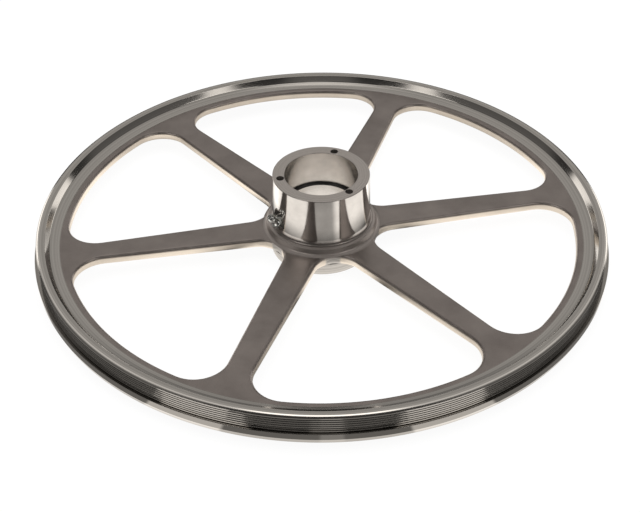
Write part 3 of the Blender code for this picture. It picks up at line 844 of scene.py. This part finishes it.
def nippleCorners(v):
    tip, head, hexTop, shank = v["tip"], v["headHeight"], v["hexHalf"], v["shankRadius"]
    end = -hexTop - v["shankLength"]
    outer = [(v["seatHole"] + 0.35, tip, 0), (v["tipRadius"], tip, 0.15)]
    outer += [(v["shoulderRadius"], tip - v["shoulderDrop"], 0.5), (v["headRadius"], head, 0.7)]
    outer += [(v["headUnder"], head - 1.3, 0.4), (v["neckRadius"], head - 2.1, 0.5)]
    outer += [(v["neckRadius"], hexTop + 1.1, 0.5), (v["collarRadius"], hexTop, 0.2)]
    outer += [(v["collarRadius"], -hexTop, 0), (shank, -hexTop - 0.02, 0)]
    for i in range(v["threads"]):
        z = -hexTop - 0.5 - i * v["threadPitch"]
        outer += [(shank, z, 0), (shank - v["threadDepth"], z - 0.35, 0)]
    outer += [(shank - 0.5, end, 0)]
    inner = [(v["greaseHole"], end, 0), (v["greaseHole"], v["chamberFloor"], 0)]
    inner += [(v["chamberRadius"], v["chamberFloor"], 0), (v["chamberRadius"], tip - v["seatBottom"], 0)]
    inner += [(v["seatHole"], tip - v["seatTop"], 0), (v["seatHole"], tip - 0.3, 0)]
    return outer + inner


def makeHexagon(v):
    # a hexagon with its top corners turned off
    deselectAll()
    bpy.ops.mesh.primitive_cylinder_add(vertices=6, radius=v["hexCorner"] * mm, depth=2 * v["hexHalf"] * mm)
    hexagon = bpy.context.object
    hexagon.name = "hexagon"
    carve(hexagon, rodCutter("hexagonBore", v["shankRadius"] * mm, -5 * mm, 5 * mm, Matrix.Identity(4)))
    half = v["hexHalf"] + 0.01
    edge = v["hexHalf"] - v["hexChamfer"]
    wide = v["hexCorner"]
    corners = [(2.4, half, 0), (wide - 0.75, half, 0), (wide + 0.1, edge, 0),
               (wide + 0.1, -edge, 0), (wide - 0.75, -half, 0), (2.4, -half, 0)]
    turned = drawSection("turnedLimit", roundedSection(corners))
    spinSection(turned, 72)
    applyModifier(hexagon, "BOOLEAN", operation="INTERSECT", solver="EXACT", object=turned)
    bpy.data.objects.remove(turned)
    return hexagon


def makeNipple():
    body = drawSection("greaseNipple", roundedSection(nippleCorners(nipple), 4))
    spinSection(body, 72)
    unite(body, makeHexagon(nipple))
    pick(body)
    body.matrix_world = nippleFrame(nipple)
    return body


def ballHeight(v):
    # the ball rests 0.3 mm short of the cone of its seat
    slope = math.atan2(v["chamberRadius"] - v["seatHole"], v["seatBottom"] - v["seatTop"])
    edge = v["tip"] - v["seatTop"]
    return edge + v["seatHole"] / math.tan(slope) - (v["ballRadius"] + 0.3) / math.sin(slope)


def makeBall():
    deselectAll()
    bpy.ops.mesh.primitive_cube_add(size=2 * nipple["ballRadius"] * mm)
    ball = bpy.context.object
    ball.name = "checkBall"
    bpy.ops.object.mode_set(mode="EDIT")
    bpy.ops.mesh.select_all(action="SELECT")
    bpy.ops.mesh.subdivide(number_cuts=11)
    bpy.ops.object.mode_set(mode="OBJECT")
    for vert in ball.data.vertices:
        vert.co = vert.co.normalized() * nipple["ballRadius"] * mm
    ball.matrix_world = nippleFrame(nipple) @ Matrix.Translation((0, 0, ballHeight(nipple) * mm))
    return ball


spring = {"wire": 0.18, "coil": 0.95, "turns": 5, "stepsPerTurn": 36}


def makeSpring():
    v = spring
    low = nipple["chamberFloor"] + v["wire"] + 0.1
    high = ballHeight(nipple) - nipple["ballRadius"] * 0.55 - v["wire"] - 0.3
    deselectAll()
    bpy.ops.mesh.primitive_circle_add(vertices=12, radius=v["wire"] * mm, rotation=(math.pi / 2, 0, 0),
                                      location=(v["coil"] * mm, 0, low * mm))
    coil = bpy.context.object
    coil.name = "nippleSpring"
    bpy.ops.object.transform_apply(location=True, rotation=True, scale=True)
    steps = v["stepsPerTurn"] * v["turns"]
    applyModifier(coil, "SCREW", axis="Z", angle=2 * math.pi * v["turns"], steps=steps, render_steps=steps,
                  screw_offset=(high - low) * mm, use_merge_vertices=False)
    bpy.ops.object.mode_set(mode="EDIT")
    bpy.ops.mesh.select_all(action="DESELECT")
    bpy.ops.mesh.select_non_manifold()
    bpy.ops.mesh.edge_face_add()
    bpy.ops.mesh.select_all(action="SELECT")
    bpy.ops.mesh.normals_make_consistent(inside=False)
    bpy.ops.object.mode_set(mode="OBJECT")
    coil.matrix_world = nippleFrame(nipple)
    # with its length and the middle of its fixed end
    return coil, (high - low + 2 * v["wire"]) * mm, nippleFrame(nipple) @ Vector((0, 0, low * mm))


def main():
    bpy.context.scene.view_settings.view_transform = "Standard"
    addCamera(camera)
    addWorld(studio)
    addOverhead(studio["overhead"])
    addFloor(studio)
    addCard(card, studio["panelColour"])
    print("studio ready")

    casting = makeWheel()
    sleeve = makeHub()
    cutNippleSeat(casting, sleeve)
    settle(casting, wheelMetal())
    settle(sleeve, hubMetal())
    # near-black painted shade for the tapped holes
    holeShade = plainMetal("oiledThread", (0.05, 0.046, 0.042), (0.11, 0.1, 0.095), (0.4, 0.6), 1500)
    lineTappedHoles(sleeve, hub, holeShade)
    print("wheel and hub ready")

    stop = makeRing()
    # the stop ring is coloured near black all over
    black = plainMetal("blackSpringSteel", (0.012, 0.012, 0.012), (0.03, 0.028, 0.027), (0.3, 0.45), 900,
                       metallic=0.6)
    settle(stop, black)
    body = makeNipple()
    settle(body, plainMetal("brightZinc", (0.62, 0.63, 0.62), (0.84, 0.85, 0.83), (0.12, 0.26), 1300))
    ball = makeBall()
    settle(ball, plainMetal("ballSteel", (0.66, 0.65, 0.63), (0.76, 0.75, 0.73), (0.05, 0.1), 2500))
    coil, length, anchor = makeSpring()
    settle(coil, plainMetal("springSteel", (0.42, 0.41, 0.40), (0.6, 0.59, 0.57), (0.2, 0.32), 3000))
    print("ring and nipple ready")

    pieces = {"spoked_wheel": casting, "hub_sleeve": sleeve, "bearing_stop_ring": stop, "nipple_body": body,
              "nipple_ball": ball, "nipple_spring": coil}
    for node, piece in pieces.items():
        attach(piece, "ball" if piece is ball else "wheel")
        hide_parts(node)
    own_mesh(coil)


main()
